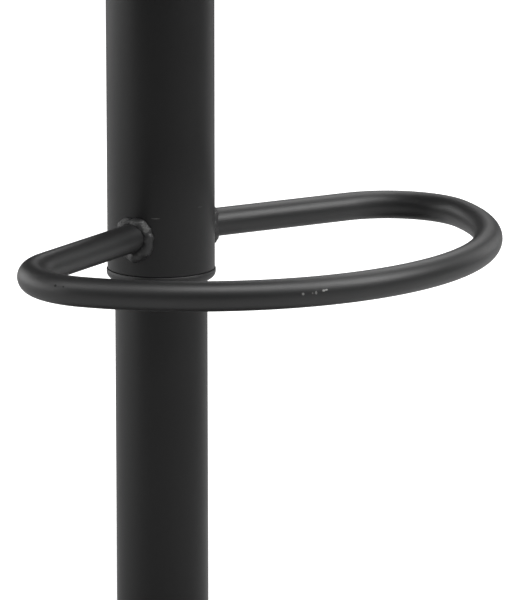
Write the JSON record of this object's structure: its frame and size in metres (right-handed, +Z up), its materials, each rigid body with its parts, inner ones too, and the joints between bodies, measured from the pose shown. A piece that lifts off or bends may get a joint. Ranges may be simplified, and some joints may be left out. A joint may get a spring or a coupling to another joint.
{
  "type": "gas lift bar stool with footrest",
  "caption": "Swivelling, height-adjustable bar stool on a weighted trumpet base, with a round padded seat and a D-shaped footrest loop welded to the telescopic column cover.",
  "frame": {"origin": "on the floor, at the column's axis", "axes": "+Z up along the column; the sitter faces -Y, where the footrest reaches out, so -X is their right, with the release lever"},
  "size_m": [0.4, 0.4, 0.7231],
  "materials": {
    "black_powder_coat": "fine-textured satin black powder coat on steel",
    "black_plastic": "moulded black plastic, matte",
    "black_rubber": "black rubber, matte",
    "bright_steel": "bright zinc plated or ground steel",
    "birch_plywood": "unfinished birch plywood",
    "black_leatherette": "grained black coated fabric over foam"
  },
  "bodies": {
    "base": {"floor_ring": "black_rubber", "base_plate": "bright_steel", "base_cover": "black_powder_coat", "column_socket": "bright_steel", "column_tube": "black_powder_coat", "column_guide": "black_plastic", "thrust_bearing": "bright_steel"},
    "spindle": {"piston_rod": "bright_steel", "rod_clip": "bright_steel", "piston": "black_rubber"},
    "seat": {"pressure_tube": "bright_steel", "rod_seal": "black_rubber", "taper_socket": "bright_steel", "cover_tube": "black_powder_coat", "collar": "black_plastic", "footrest_loop": "black_powder_coat", "footrest_weld_left": "black_powder_coat", "footrest_weld_right": "black_powder_coat", "seat_pan": "black_powder_coat", "seat_screw_1": "bright_steel", "seat_screw_2": "bright_steel", "seat_screw_3": "bright_steel", "seat_screw_4": "bright_steel", "tee_nut_1": "bright_steel", "tee_nut_2": "bright_steel", "tee_nut_3": "bright_steel", "tee_nut_4": "bright_steel", "lever_bracket": "black_powder_coat", "lever_pivot_pin": "bright_steel", "seat_board": "birch_plywood", "underside_panel": "black_plastic", "seat_cushion": "black_leatherette"},
    "valve": {"valve_pin": "bright_steel"},
    "lever": {"lever_rod": "bright_steel", "lever_grip": "black_plastic"}
  },
  "joints": [
    {"name": "swivel", "type": "hinge", "parent": "base", "child": "spindle", "pos_m": [0, 0, 0.0273], "axis": [0, 0, 1], "continuous": true},
    {"name": "lift", "type": "slide", "parent": "spindle", "child": "seat", "axis": [0, 0, 1], "range_m": [-0.1, 0.1]},
    {"name": "lever_lift", "type": "hinge", "parent": "seat", "child": "lever", "pos_m": [-0.035, 0, 0.6101], "axis": [0, 1, 0], "range_deg": [0, 5], "stiffness_Nm_per_rad": 3, "springref_deg": -5.73},
    {"name": "valve_press", "type": "slide", "parent": "seat", "child": "valve", "axis": [0, 0, -1], "range_m": [0, 0.003]}
  ],
  "couplings": [
    {"joint": "valve_press", "follows": "lever_lift", "m_per_rad": 0.034}
  ]
}
